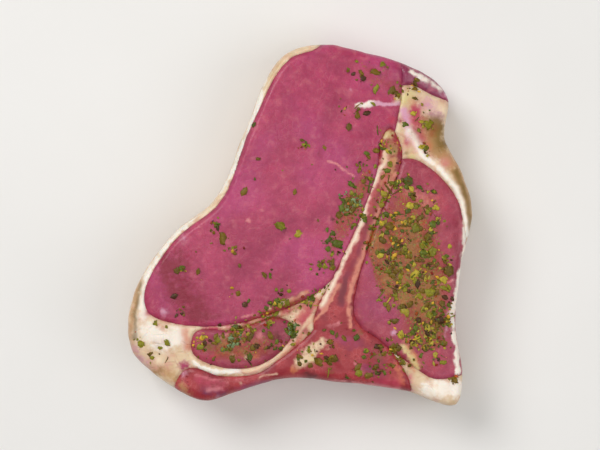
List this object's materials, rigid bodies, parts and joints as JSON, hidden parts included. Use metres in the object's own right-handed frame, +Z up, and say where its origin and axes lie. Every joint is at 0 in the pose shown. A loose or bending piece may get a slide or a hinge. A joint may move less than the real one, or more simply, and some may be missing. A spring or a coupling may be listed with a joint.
{
  "type": "raw lamb chop",
  "caption": "Raw lamb loin chop with its bone, loin eye, tenderloin and fat, marinated with chopped herbs, lying flat on one cut face.",
  "frame": {"origin": "centre of the outline's box on the plane that the chop lies on", "axes": "+Z up out of the cut face that shows, +Y towards the flank end, -X towards the fat of the back, -Y towards the sawn middle of the spine"},
  "size_m": [0.074, 0.0772, 0.0178],
  "materials": {
    "lean_meat": "moist raw lean meat, magenta pink, with faint marbling and a thin wet film",
    "dark_meat": "moist raw lean meat, purple red and glossy",
    "bone": "sawn bone, red marrow with pale cream edges, damp",
    "fat": "raw fat, cream white with pink patches, waxy",
    "herbs": "chopped damp herbs, olive to mid green with some yellow"
  },
  "bodies": {
    "root": {"loin_eye": "lean_meat", "tenderloin": "lean_meat", "chine_muscle": "lean_meat", "flank_muscle": "dark_meat", "t_bone": "bone", "back_fat": "fat", "flank_fat": "fat", "corner_fat": "fat"}
  },
  "joints": []
}
